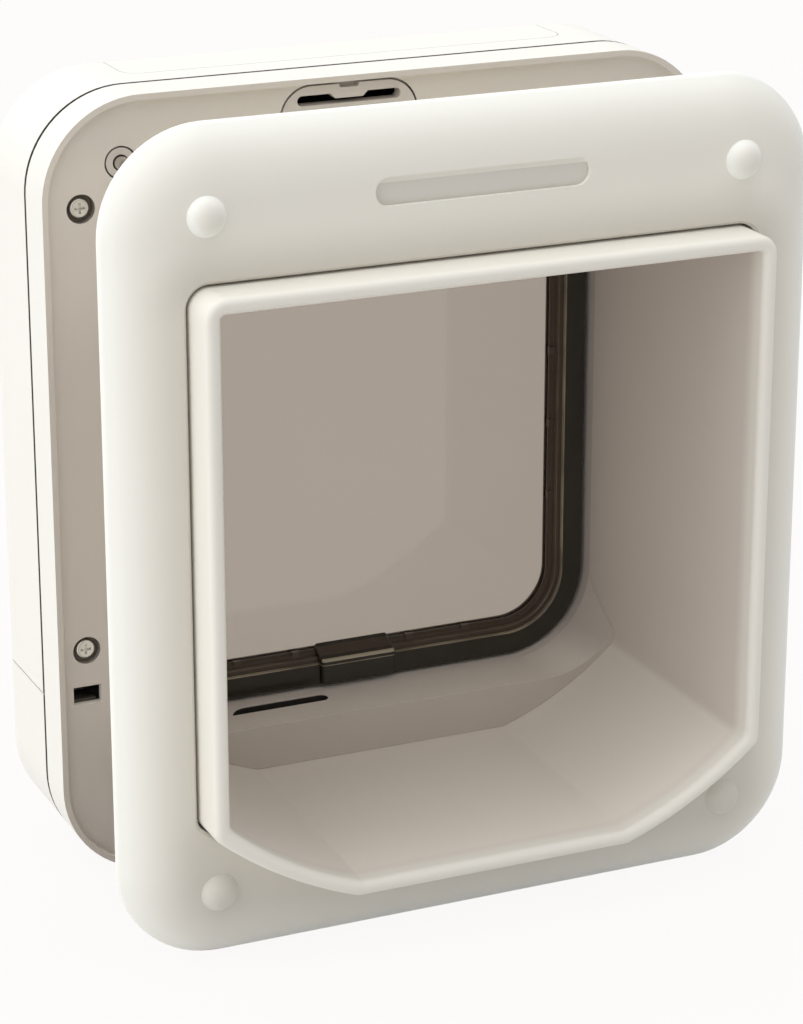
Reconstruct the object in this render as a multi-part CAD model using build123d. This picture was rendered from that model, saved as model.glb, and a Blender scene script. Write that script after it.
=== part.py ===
"""Self-lining electronic cat flap for a house door.

X runs to the right as seen from outside, Y into the house and Z up, in millimetres.
The origin is the middle of the four fixing screws, on the plane that meets the inside of the door.
"""
import math
import os

from build123d import *

# Door and fit
door_thickness = 50.0
touch_gap = 0.3
bearing_gap = 0.05
cut_past = 1.0

# Tunnel through the door
tunnel_width = 160.0
tunnel_height = 167.2
floor_width = 80.0
bevel_height = 23.4
bevel_bulge = 2.3
mouth_wall = 4.2
mouth_corner = 5.5
heel_corner = 4.0
toe_corner = 2.5
mouth_proud = 11.6
rim_round = 1.9
band_overlap = 3.0
tunnel_wall = 2.4
tunnel_draft = 1.8
tunnel_reach = 20.0
floor_reach = 8.0
flange_width = 3.0
flange_thickness = 2.0

# Exterior frame
frame_side = 20.0
frame_above = 39.5
frame_below = 18.3
frame_corner = 28.0
frame_depth = 10.8
frame_wall = 2.4
roll_width = 18.0
roll_land = 1.2
roll_round = 2.5
frame_gap = 0.7
collar_wall = 2.2
edge_break = 0.8
dome_diameter = 10.5
dome_height = 3.5
boss_wall = 2.4
recess_length = 60.0
recess_height = 7.5
recess_depth = 1.6
recess_drop = 20.0
frame_rib_count = 4
frame_rib_pitch = 30.0
frame_rib_wall = 1.6
frame_rib_depth = 6.0

# Fixing screws that clamp the door
fixing_inset = 5.0
fixing_above = 18.0
fixing_lift = 3.2
fixing_diameter = 3.8
fixing_head_diameter = 7.2
fixing_head_height = 2.4
sleeve_bore = 4.4
sleeve_diameter = 8.0
sleeve_flange_diameter = 13.0
sleeve_flange_height = 2.0
sleeve_ring_gap = 0.5
head_room = 7.0
plug_diameter = 11.0
plug_stem_diameter = 9.2
plug_dome = 0.9
plug_round = 0.7
head_round = 0.8

# Main unit on the inside of the door
unit_side = 17.5
unit_below = 16.3
unit_corner = 27.5
unit_wall = 2.2
front_wall = 2.4
cover_round = 6.0
lip_width = 1.6
lip_height = 2.1
plate_thickness = 2.5
rear_depth = 14.0
shell_gap = 0.8
tongue_wall = 0.9
tongue_length = 2.0
split_drop = 59.5
split_gap = 0.5

# Flap
flap_side_gap = 1.4
flap_sill_gap = 1.0
throat_gap = 1.4
flap_corner = 24.5
hinge_drop = 6.0
hinge_setback = 8.5
rim_width = 9.7
rim_flange = 6.4
rim_front = 5.9
rim_back = 4.9
rim_step = 1.5
rim_drops = (1.5, 3.1)
rim_back_drops = (1.2, 2.4)
rim_bevel = 0.8
rim_edge = 0.35
pane_cheek = 0.6
pane_thickness = 2.4
pane_bite = 2.4
barrel_radius = 4.5
head_drop = 11.2
head_cheek = 1.6
head_inset = 1.0
spindle_diameter = 3.0
spindle_bite = 4.0
clip_count = 3
clip_pitch = 22.0
foot_clip_pitch = 18.0
clip_length = 2.4
clip_height = 0.7
clip_reach = 0.4
clip_root = 2.4
clip_lift = 0.4
latch_width = 23.0
latch_lift = 0.8
latch_front = 7.2
latch_height = 11.1
latch_proud = 1.8
latch_round = 1.0
magnet_length = 14.0
magnet_height = 4.0
magnet_depth = 4.0
magnet_lift = 0.8

# Flap surround with the sill
sill_rise = 13.2
sill_front = 4.0
sill_flare = 4.6
sill_flare_drop = 0.8
horn_rise = 4.8
horn_reach = 27.0
apron_gap = 0.1
surround_wall = 2.2
surround_margin = 6.0
header_room = 8.2
header_corner = 4.0
hinge_pad_radius = 5.0
hinge_pad_length = 4.4
sill_hollow_half = 46.0

# Locks in the sill
lock_pivot_x = 36.0
lock_slot_end = 14.0
lock_slot_taper = 5.5
lock_slot_width = 4.0
lock_slot_past = 0.5
lock_thickness = 3.0
lock_hub_radius = 3.5
lock_crown = 7.7
lock_tip_depth = 4.5
lock_tip_gap = 1.0
lock_out_gap = 6.4
lock_in_gap = 4.4
lock_land = 2.2
lock_drop = 14.1
lock_top_drop = 4.0
lock_shaft_diameter = 3.0
lock_shaft_bite = 5.5
lock_shaft_end = 0.5
motor_width = 12.0
motor_height = 10.8
motor_length = 17.0
motor_corner = 2.0
motor_setback = 1.3
motor_nose = 1.0
motor_nose_diameter = 6.0
shelf_wall = 2.0
shelf_margin = 4.0

# Batteries
cell_diameter = 14.5
cell_length = 50.5
cell_gap = 0.3
cell_nub_diameter = 5.5
cell_nub_length = 1.0
tray_wall = 1.5
tray_foot = 3.2
tray_back = 24.0
tray_post_x = 38.0
row_rib_reach = 2.4
contact_room = 3.4
contact_plate = 0.6
contact_size = 11.0
spring_base = 8.8
spring_tip = 4.4
panel_land = 4.5
panel_front = 25.0
panel_corner = 5.0
panel_ledge = 1.8
panel_overhead = 1.2

# Screws that hold the main unit together
housing_screw_diameter = 2.9
housing_head_diameter = 5.7
housing_head_height = 2.4
housing_clearance = 0.4
counterbore_diameter = 7.9
counterbore_depth = 3.4
tower_diameter = 10.6
tower_height = 4.0
pillar_diameter = 7.2
screw_bite = 9.0
cross_length = 3.0
cross_width = 0.7
cross_depth = 1.1
upper_screw_inset = 11.2
upper_screw_drop = 29.4
middle_screw_inset = 8.8
middle_screw_drop = 43.4
lower_screw_x = 52.0
lower_screw_lift = 9.0

# Window, clip and tab in the rear plate
window_inset = 4.6
window_width = 8.1
window_height = 5.4
window_lift = 3.0
clip_arm = 2.2
hook_bite = 0.8
hook_side_gap = 1.0
tab_x = -10.2
tab_width = 39.0
tab_height = 22.0
tab_corner = 8.5
tab_drop = 2.6
tab_gap = 0.6
tab_flange = 1.6
tab_slot_length = 30.0
tab_slot_height = 2.8
tab_slot_drop = 3.8
tab_tooth_length = 8.0
tab_tooth_height = 1.4
tab_notch_length = 6.0
tab_notch_height = 1.0

# Electronics
board_width = 11.6
board_height = 96.0
board_thickness = 1.6
board_edge = 3.0
board_stand = 7.0
board_drop = 7.0
post_diameter = 5.0
button_diameter = 9.2
button_flange = 1.2
button_flange_height = 1.6
button_proud = 1.2
button_round = 0.7
button_travel = 0.7
button_drop = 14.0
switch_size = 6.0
switch_height = 3.5
plunger_diameter = 3.2
lens_diameter = 3.8
lens_drop = 14.0
lens_flange_diameter = 6.4
lens_flange_height = 2.0
led_size = 3.2
led_height = 1.8
chip_size = 8.0
chip_height = 1.4
chip_count = 3
chip_pitch = 29.0
coil_width = 4.0
coil_thickness = 2.2
coil_setback = 1.8
dial_diameter = 18.0
dial_height = 7.5
dial_base = 3.0
dial_round = 0.9
dial_grip_length = 15.4
dial_grip = 4.0
dial_grip_round = 1.0
dial_shaft_diameter = 5.9
dial_shaft_bite = 5.2
dial_shaft_room = 0.8
dial_lift = 16.5
selector_size = 14.0
selector_depth = 7.5

# Places across the door
fixing_span_x = tunnel_width - 2 * fixing_inset
fixing_span_z = tunnel_height + fixing_above - fixing_lift
tunnel_top = fixing_span_z / 2 - fixing_above
tunnel_floor = tunnel_top - tunnel_height
fixing_points = [(sx * fixing_span_x / 2, sz * fixing_span_z / 2) for sx in (-1, 1) for sz in (-1, 1)]
frame_width = tunnel_width + 2 * frame_side
frame_top = tunnel_top + frame_above
frame_bottom = tunnel_floor - frame_below
frame_height = frame_top - frame_bottom
frame_middle = (frame_top + frame_bottom) / 2

# Places through the door
frame_rear = -door_thickness
frame_face = frame_rear - frame_depth
mouth_front = frame_face - mouth_proud
plate_face = lip_height
plate_back = plate_face + plate_thickness
tunnel_end = tunnel_reach

# Flap, hinge and sill
passage_half = tunnel_width / 2 - mouth_wall - tunnel_draft
passage_top = tunnel_top - mouth_wall - tunnel_draft
sill_top = tunnel_floor + mouth_wall + tunnel_draft + sill_rise
flap_half = passage_half - flap_side_gap
flap_bottom = sill_top + flap_sill_gap
hinge_z = passage_top - hinge_drop
hinge_y = tunnel_end + hinge_setback
rim_face = hinge_y - rim_front
rim_rear = hinge_y + rim_back
pane_front = hinge_y - pane_thickness / 2
latch_face = rim_face - latch_proud
latch_foot = flap_bottom + latch_lift
pane_rear = hinge_y + pane_thickness / 2
throat_half = flap_half + throat_gap
throat_top = hinge_z + header_room
throat_corner = flap_corner + throat_gap
horn_top = tunnel_floor + bevel_height + horn_rise
horn_tip = sill_top + horn_reach
exit_lock_y = rim_face - lock_out_gap
entry_lock_y = rim_rear + lock_in_gap
surround_end = entry_lock_y + lock_slot_width / 2 + lock_land
unit_depth = surround_end + surround_margin
front_inside = unit_depth - front_wall

# Main unit outline, as tall as the two rows of cells need
tray_floor = throat_top + surround_wall + tray_foot
lower_row = tray_floor + tray_wall + cell_gap + cell_diameter / 2
cell_rows = [lower_row, lower_row + cell_diameter + cell_gap]
unit_top = cell_rows[-1] + cell_diameter / 2 + panel_overhead + unit_wall
unit_bottom = tunnel_floor - unit_below
unit_half = tunnel_width / 2 + unit_side
unit_middle = (unit_top + unit_bottom) / 2
cover_back = rear_depth + shell_gap
split_z = -split_drop
window_foot = split_z + window_lift - window_height / 2

# Batteries
cell_y = tray_back + tray_wall + cell_gap + cell_diameter / 2
tray_half = cell_length + cell_gap + contact_room + tray_wall
panel_half = fixing_span_x / 2 - plug_diameter / 2 - panel_land

# Screws
upper_screws = [(s * (unit_half - upper_screw_inset), unit_top - upper_screw_drop) for s in (-1, 1)]
middle_screws = [(s * (unit_half - middle_screw_inset), -middle_screw_drop) for s in (-1, 1)]
lower_screws = [(s * lower_screw_x, unit_bottom + lower_screw_lift) for s in (-1, 1)]
housing_points = upper_screws + middle_screws + lower_screws
counterbore_floor = plate_face + counterbore_depth
tower_end = plate_back + tower_height

# Locks
lock_z = sill_top - lock_drop
shelf_top = lock_z - motor_height / 2

# Electronics
board_x = unit_half - unit_wall - board_edge - board_width / 2
board_top = hinge_z + board_drop
board_front = front_inside - board_stand
board_back = board_front - board_thickness
lens_z = board_top - lens_drop
button_z = lens_z - button_drop
dial_z = unit_bottom + dial_lift


def slab(sketch, near, far):
    """A sketch drawn in X and Z, carried along Y from near to far."""
    return extrude(Plane.XZ.offset(-far) * sketch, far - near, dir=(0, -1, 0))


def peg(x, z, diameter, near, far):
    """A round pin along Y."""
    return slab(Pos(x, z) * Circle(diameter / 2), near, far)


def block(x_ends, y_ends, z_ends):
    """A box between three pairs of ends."""
    ends = (x_ends, y_ends, z_ends)
    return Pos(*[sum(pair) / 2 for pair in ends]) * Box(*[abs(pair[1] - pair[0]) for pair in ends])


def edges_at(body, y):
    """The edges of a body that lie in the plane across Y at y."""
    near = body.edges().filter_by(lambda e: abs(e.bounding_box().min.Y - y) < 0.001)
    return near.filter_by(lambda e: abs(e.bounding_box().max.Y - y) < 0.001)


def mirrored(body):
    """A body and its mirror image across the middle of the door."""
    return body + mirror(body, about=Plane.YZ)


def tunnel_outline(inset):
    """The tunnel's section, moved in by inset: square top, bowed bevels down to a flat floor."""
    half = tunnel_width / 2 - inset
    top = tunnel_top - inset
    floor = tunnel_floor + inset
    slope = math.atan2(bevel_height, (tunnel_width - floor_width) / 2)
    toe = floor_width / 2 - inset * math.tan(slope / 2)
    heel = tunnel_floor + bevel_height + inset * math.tan((math.pi / 2 - slope) / 2)
    bow_x = (half + toe) / 2 + bevel_bulge * math.sin(slope)
    bow_z = (heel + floor) / 2 - bevel_bulge * math.cos(slope)
    outline = make_face([
        Line((-half, top), (half, top)),
        Line((half, top), (half, heel)),
        ThreePointArc((half, heel), (bow_x, bow_z), (toe, floor)),
        Line((toe, floor), (-toe, floor)),
        ThreePointArc((-toe, floor), (-bow_x, bow_z), (-half, heel)),
        Line((-half, heel), (-half, top)),
    ])
    outline = fillet(outline.vertices().group_by(Axis.Y)[-1], max(mouth_corner - inset, 1.0))
    outline = fillet(outline.vertices().filter_by(lambda v: abs(v.Y - heel) < 0.001), heel_corner)
    return fillet(outline.vertices().filter_by(lambda v: abs(v.Y - floor) < 0.001), toe_corner)


def bore_inset(y):
    """How far the tunnel's bore lies inside the mouth's outer face, with the draft from mouth to flap."""
    return mouth_wall + tunnel_draft * (y - mouth_front) / (tunnel_end - mouth_front)


def tunnel_taper(near, far, grow):
    """The tapering tunnel bore from near to far, grown outwards."""
    ends = [Plane.XZ.offset(-y) * tunnel_outline(bore_inset(y) - grow) for y in (near, far)]
    return loft(ends, ruled=True)


def throat_outline(grow, drop=0.0, widen=0.0):
    """The flap's own opening: round lower corners, nearly square upper ones."""
    half = throat_half + grow + widen
    bottom = sill_top - grow - drop
    top = throat_top + grow
    outline = Pos(0, (top + bottom) / 2) * Rectangle(2 * half, top - bottom)
    outline = fillet(outline.vertices().group_by(Axis.Y)[0], throat_corner + grow)
    return fillet(outline.vertices().group_by(Axis.Y)[-1], header_corner + grow)


def unit_outline(inset):
    """The main unit's outline, moved in by inset."""
    width = 2 * (unit_half - inset)
    height = unit_top - unit_bottom - 2 * inset
    return Pos(0, unit_middle) * RectangleRounded(width, height, unit_corner - inset)


def exterior_frame():
    """Outer frame: a hollow crowned border round a flat face, with blind bosses under four domes."""
    rise = frame_depth - roll_land
    crown = (roll_width ** 2 + rise ** 2) / (2 * rise)
    inner_crown = crown - frame_wall
    inner_land = frame_depth - crown + math.sqrt(inner_crown ** 2 - (roll_width - frame_wall) ** 2)
    inner_face = (roll_width, frame_depth - frame_wall)
    section = make_face([
        Line((0, 0), (0, roll_land)),
        TangentArc((roll_width, frame_depth), (0, roll_land), tangent=(-1, 0)),
        Line((roll_width, frame_depth), inner_face),
        TangentArc(inner_face, (frame_wall, inner_land), tangent=(-1, 0)),
        Line((frame_wall, inner_land), (frame_wall, 0)),
        Line((frame_wall, 0), (0, 0)),
    ])
    corner = section.vertices().filter_by(lambda v: abs(v.X) + abs(v.Y - roll_land) < 0.001)
    section = fillet(corner, roll_round)
    half = frame_width / 2
    track = FilletPolyline(
        (0, frame_top), (-half, frame_top), (-half, frame_bottom), (0, frame_bottom), radius=frame_corner
    )
    start = Plane(origin=(0, frame_rear, frame_top), x_dir=(0, 0, -1), z_dir=(-1, 0, 0))
    roll = mirrored(sweep(start * section, path=Plane.XZ.offset(-frame_rear) * track))
    flat_corner = max(frame_corner - roll_width, edge_break)
    flat = RectangleRounded(frame_width - 2 * roll_width, frame_height - 2 * roll_width, flat_corner)
    body = roll + slab(Pos(0, frame_middle) * flat, frame_face, frame_face + frame_wall)
    behind_face = frame_face + frame_wall / 2
    door_side = frame_rear - touch_gap
    body += slab(tunnel_outline(-frame_gap - collar_wall), behind_face, door_side)
    rib_ends = (tunnel_top + frame_gap, frame_top - roll_width)
    for i in range(frame_rib_count):
        x = (i - (frame_rib_count - 1) / 2) * frame_rib_pitch
        rib_sides = (x - frame_rib_wall / 2, x + frame_rib_wall / 2)
        body += block(rib_sides, (behind_face, behind_face + frame_rib_depth), rib_ends)
    dome_radius = (dome_diameter ** 2 / 4 + dome_height ** 2) / (2 * dome_height)
    for x, z in fixing_points:
        ball = Pos(x, frame_face - dome_height + dome_radius, z) * Sphere(dome_radius)
        cap = ball & block((x - dome_radius, x + dome_radius), (frame_face - dome_height, behind_face),
                           (z - dome_radius, z + dome_radius))
        body += cap + peg(x, z, fixing_diameter + 2 * boss_wall, behind_face, door_side)
    body -= slab(tunnel_outline(-frame_gap), frame_face - frame_depth, frame_rear + frame_depth)
    lead = [Plane.XZ.offset(d - frame_face) * tunnel_outline(-frame_gap - edge_break - d)
            for d in (edge_break, -edge_break)]
    body -= loft(lead, ruled=True)
    for x, z in fixing_points:
        body -= peg(x, z, fixing_diameter + 2 * bearing_gap, frame_face, frame_rear)
    recess = Pos(0, frame_top - recess_drop) * SlotOverall(recess_length, recess_height)
    return body - slab(recess, frame_face - recess_depth, frame_face + recess_depth)


def tunnel_liner():
    """Self-lining tunnel: a thick rounded mouth, thinner tapering walls and a flange behind the plate."""
    band_end = frame_rear + band_overlap
    body = slab(tunnel_outline(0), mouth_front, band_end)
    body += tunnel_taper(band_end - band_overlap, tunnel_end, tunnel_wall)
    flange_inset = bore_inset(plate_back) - tunnel_wall - flange_width
    flange = slab(tunnel_outline(flange_inset), plate_back, plate_back + flange_thickness)
    above = block((-unit_half, unit_half), (0, tunnel_end), (horn_top, tunnel_top + flange_width))
    body += flange & above
    body -= tunnel_taper(mouth_front - cut_past, tunnel_end + cut_past, 0)
    body -= block((-unit_half, unit_half), (floor_reach, tunnel_end + cut_past), (unit_bottom, horn_top))
    return fillet(edges_at(body, mouth_front), rim_round)


def rear_housing():
    """Tray that meets the door: a lip round a sunk plate, screw towers, motor shelves and a tongue."""
    tongue_end = cover_back + tongue_length
    body = slab(unit_outline(0), 0, rear_depth)
    body -= slab(unit_outline(lip_width), -cut_past, plate_face)
    body -= slab(unit_outline(unit_wall), plate_back, rear_depth + cut_past)
    tongue = unit_outline(unit_wall - tongue_wall) - unit_outline(unit_wall)
    body += slab(tongue, rear_depth - tongue_length, tongue_end)
    for x, z in housing_points:
        body += peg(x, z, tower_diameter, plate_back - cut_past, tower_end)
    for s in (-1, 1):
        body += peg(s * tray_post_x, cell_rows[0], post_diameter, plate_back - cut_past, tray_back)
        shelf = sorted((s * (lock_pivot_x - motor_width / 2 - shelf_margin),
                        s * (lock_pivot_x + motor_width / 2 + shelf_margin)))
        deck = (plate_back - cut_past, entry_lock_y - lock_slot_width)
        body += block(shelf, deck, (shelf_top - shelf_wall, shelf_top))
        rib = (s * lock_pivot_x - shelf_wall / 2, s * lock_pivot_x + shelf_wall / 2)
        body += block(rib, deck, (shelf_top - 3 * shelf_wall, shelf_top - shelf_wall / 2))
        outer = s * (unit_half - window_inset)
        window_x = sorted((outer, outer - s * window_width))
        body -= block(window_x, (0, tower_end), (window_foot, window_foot + window_height))
    hole_inset = bore_inset(plate_face) - tunnel_wall - touch_gap / 2
    body -= slab(tunnel_outline(hole_inset), -cut_past, plate_back)
    for x, z in housing_points:
        body -= peg(x, z, counterbore_diameter, 0, counterbore_floor)
        body -= peg(x, z, housing_screw_diameter + housing_clearance, 0, tower_end + cut_past)
    for x, z in fixing_points:
        body -= peg(x, z, sleeve_diameter + 2 * sleeve_ring_gap, 0, plate_back)
    body -= slab(tab_outline(tab_gap), 0, plate_back)
    return body


def tab_outline(grow):
    """The rear tab's outline: round upper corners."""
    top = unit_top - tab_drop + grow
    sheet = Rectangle(tab_width + 2 * grow, tab_height + 2 * grow)
    outline = Pos(tab_x, top - tab_height / 2 - grow) * sheet
    return fillet(outline.vertices().group_by(Axis.Y)[-1], tab_corner + grow)


def catch_tab():
    """Tab set in the rear plate, with a stepped slot and a notch in its upper edge."""
    top = unit_top - tab_drop
    body = slab(tab_outline(0), plate_face, plate_back)
    above = Pos(tab_x, unit_top) * Rectangle(2 * tab_width, 2 * unit_wall)
    body += slab(tab_outline(tab_flange) - above, plate_back, plate_back + tab_flange)
    slot_z = top - tab_slot_drop
    slot = Pos(tab_x, slot_z) * SlotOverall(tab_slot_length, tab_slot_height)
    tooth_top = slot_z + tab_slot_height / 2
    slope = tab_tooth_height
    tooth = make_face(Polyline(
        (tab_x - tab_tooth_length / 2 - slope, tooth_top),
        (tab_x - tab_tooth_length / 2, tooth_top - tab_tooth_height),
        (tab_x + tab_tooth_length / 2, tooth_top - tab_tooth_height),
        (tab_x + tab_tooth_length / 2 + slope, tooth_top),
        close=True,
    ))
    notch = make_face(Polyline(
        (tab_x - tab_notch_length / 2, top),
        (tab_x - tab_notch_length / 2 + tab_notch_height / 2, top - tab_notch_height),
        (tab_x + tab_notch_length / 2 - tab_notch_height / 2, top - tab_notch_height),
        (tab_x + tab_notch_length / 2, top),
        close=True,
    ))
    body -= slab(slot - tooth, 0, plate_back + tab_flange + cut_past)
    return body - slab(notch, 0, plate_back)


def panel_region(grow):
    """The space that the battery cover takes out of the unit's top and face."""
    half = panel_half + grow
    y_ends = (panel_front - grow, unit_depth + panel_corner)
    z_ends = (tray_floor - grow, unit_top + panel_corner)
    region = block((-half, half), y_ends, z_ends)
    upright = region.edges().filter_by(Axis.Z).group_by(Axis.Y)[0]
    level = region.edges().filter_by(Axis.Y).group_by(Axis.Z)[0]
    return fillet(list(upright) + list(level), panel_corner + grow)


def unit_shell():
    """The whole room-side shell before it is split into its covers."""
    body = slab(unit_outline(0), cover_back, unit_depth)
    body = fillet(edges_at(body, unit_depth), cover_round)
    hollow = slab(unit_outline(unit_wall), cover_back - cut_past, front_inside)
    body -= fillet(edges_at(hollow, front_inside), cover_round - unit_wall)
    rebate = unit_wall - tongue_wall - touch_gap / 2
    body -= slab(unit_outline(rebate), cover_back - cut_past, cover_back + tongue_length + touch_gap)
    throat = throat_outline(surround_wall) - throat_outline(0)
    body += slab(throat, surround_end, unit_depth - front_wall / 2)
    body -= slab(throat_outline(0), surround_end - cut_past, unit_depth + cut_past)
    lead = [Plane.XZ.offset(-unit_depth - d) * throat_outline(edge_break + d)
            for d in (edge_break, -edge_break)]
    return body - loft(lead, ruled=True)


def pillar(x, z):
    """A screw pillar from a tower on the rear plate to the inside of a cover."""
    post = peg(x, z, pillar_diameter, tower_end, front_inside + front_wall / 2)
    bore = housing_screw_diameter + 2 * bearing_gap
    return post - peg(x, z, bore, tower_end - cut_past, tower_end + screw_bite + cut_past)


def inner_cover():
    """Upper room-side cover, with screw pillars, board posts and a ledge for the battery cover."""
    upper = block((-unit_half, unit_half), (0, unit_depth), (split_z + split_gap / 2, unit_top))
    body = (unit_shell() & upper) - panel_region(touch_gap)
    for x, z in upper_screws + middle_screws:
        body += pillar(x, z)
    for z in (board_top - post_diameter, board_top - board_height + post_diameter):
        body += peg(board_x, z, post_diameter, board_front, front_inside + front_wall / 2)
    ledge_y = (front_inside - 2 * panel_ledge, front_inside)
    for s in (-1, 1):
        ledge_x = sorted((s * (panel_half - panel_ledge), s * (panel_half + 2 * panel_ledge)))
        body += block(ledge_x, ledge_y, (tray_floor + panel_corner, unit_top - cover_round - panel_corner))
    body -= peg(board_x, button_z, button_diameter + 2 * touch_gap, surround_end, unit_depth)
    body -= peg(board_x, lens_z, lens_diameter + 2 * bearing_gap, surround_end, unit_depth)
    for x, z in fixing_points:
        body -= peg(x, z, plug_stem_diameter + 2 * touch_gap, surround_end, unit_depth)
    return body


def lower_cover():
    """Lower room-side cover over the locks, hooked into the rear windows."""
    lower = block((-unit_half, unit_half), (0, unit_depth), (unit_bottom, split_z - split_gap / 2))
    body = unit_shell() & lower
    for x, z in lower_screws:
        body += pillar(x, z)
    hook_low = split_z - 2 * clip_arm
    hook_back = cover_back + 2 * clip_arm
    hook_y = plate_back + touch_gap
    for s in (-1, 1):
        wall = s * (unit_half - unit_wall / 2)
        tip = s * (unit_half - window_inset - window_width + hook_side_gap)
        reach = sorted((s * (unit_half - window_inset - hook_side_gap), tip))
        top = split_z - split_gap
        body += block(sorted((wall, tip)), (hook_back - clip_arm, hook_back), (hook_low, top))
        body += block(reach, (hook_y, hook_back), (top - clip_arm, top))
        body += block(reach, (hook_y, hook_y + clip_arm), (top - clip_arm, window_foot + hook_bite))
    body -= peg(0, dial_z, dial_shaft_diameter + 2 * bearing_gap, surround_end, unit_depth + cut_past)
    for x, z in fixing_points:
        body -= peg(x, z, plug_stem_diameter + 2 * touch_gap, surround_end, unit_depth)
    return body


def battery_cover():
    """Cover over the cells, wrapping from the room face on to the top."""
    shell = slab(unit_outline(0), cover_back, unit_depth)
    shell = fillet(edges_at(shell, unit_depth), cover_round)
    hollow = slab(unit_outline(unit_wall), cover_back - cut_past, front_inside)
    shell -= fillet(edges_at(hollow, front_inside), cover_round - unit_wall)
    return shell & panel_region(0)


def flap_surround():
    """Moulding behind the tunnel that carries the flap: a throat, a sill apron and two bearings."""
    ring = throat_outline(surround_wall) - throat_outline(0)
    body = slab(ring, tunnel_end, surround_end)
    apron = tunnel_taper(sill_front, tunnel_end, -apron_gap)
    body += apron & block((-unit_half, unit_half), (0, tunnel_end), (unit_bottom, horn_tip))
    front = Plane.XZ.offset(cut_past - sill_front) * throat_outline(0, sill_flare_drop, sill_flare)
    back = Plane.XZ.offset(-tunnel_end) * throat_outline(0)
    body -= loft([front, back], ruled=True)
    under = (unit_bottom, sill_top - sill_flare_drop - surround_wall)
    hollow_y = (sill_front + surround_wall, tunnel_end)
    body -= block((-sill_hollow_half, sill_hollow_half), hollow_y, under)
    pad = Plane.YZ.offset(throat_half + surround_wall / 2)
    body += mirrored(extrude(pad * Pos(hinge_y, hinge_z) * Circle(hinge_pad_radius), hinge_pad_length))
    bore = Plane.YZ.offset(-unit_half) * Pos(hinge_y, hinge_z) * Circle(spindle_diameter / 2 + bearing_gap)
    body -= extrude(bore, 2 * unit_half)
    return body - lock_slot(exit_lock_y, -1) - lock_slot(entry_lock_y, 1)


def lock_slot(y, side):
    """Slot in the sill for a lock lever, tapered at its outer end."""
    near, far = y - lock_slot_width / 2, y + lock_slot_width / 2
    inner, straight = lock_slot_end, lock_pivot_x + lock_slot_past
    tip = straight + lock_slot_taper
    plan = make_face([
        Line((inner, near), (tip, near)),
        TangentArc((straight, far), (tip, near), tangent=(1, 0)),
        Line((straight, far), (inner, far)),
        ThreePointArc((inner, far), (inner - lock_slot_width / 2, y), (inner, near)),
    ])
    cut = extrude(Plane.XY.offset(sill_top - 3 * surround_wall) * plan, 6 * surround_wall, dir=(0, 0, 1))
    return cut if side > 0 else mirror(cut, about=Plane.YZ)


def lock_lever(y, side):
    """Lever that swings up out of its slot beside the flap, clamped on the motor's shaft."""
    top = sill_top - lock_top_drop
    tip = lock_slot_end + lock_tip_gap
    plan = make_face(Polyline(
        (lock_pivot_x, lock_z + lock_hub_radius),
        (lock_pivot_x - lock_crown, top),
        (tip, top),
        (tip, top - lock_tip_depth),
        (lock_pivot_x, lock_z - lock_hub_radius),
        close=True,
    ))
    near, far = y - lock_thickness / 2, y + lock_thickness / 2
    body = slab(plan, near, far) + peg(lock_pivot_x, lock_z, 2 * lock_hub_radius, near, far)
    body -= peg(lock_pivot_x, lock_z, lock_shaft_diameter, near, far)
    return body if side > 0 else mirror(body, about=Plane.YZ)


def lock_motor(y, side, direction):
    """Small geared motor on its shelf, with a round nose that carries the lever's shaft."""
    start = y + direction * (lock_slot_width / 2 + motor_setback)
    end = start + direction * motor_length
    x = side * lock_pivot_x
    near, far = sorted((start, end))
    case = slab(Pos(x, lock_z) * RectangleRounded(motor_width, motor_height, motor_corner), near, far)
    nose = sorted((start - direction * motor_nose, start))
    case += peg(x, lock_z, motor_nose_diameter, *nose)
    hole = sorted((nose[0], start + direction * (lock_shaft_bite + lock_shaft_end), nose[1]))
    return case - peg(x, lock_z, lock_shaft_diameter + 2 * bearing_gap, hole[0], hole[-1])


def lock_shaft(y, side, direction):
    """Motor shaft that carries a lock lever."""
    free = y - direction * (lock_thickness / 2 + lock_shaft_end)
    held = y + direction * (lock_slot_width / 2 + motor_setback + lock_shaft_bite)
    near, far = sorted((free, held))
    return peg(side * lock_pivot_x, lock_z, lock_shaft_diameter, near, far)


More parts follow.
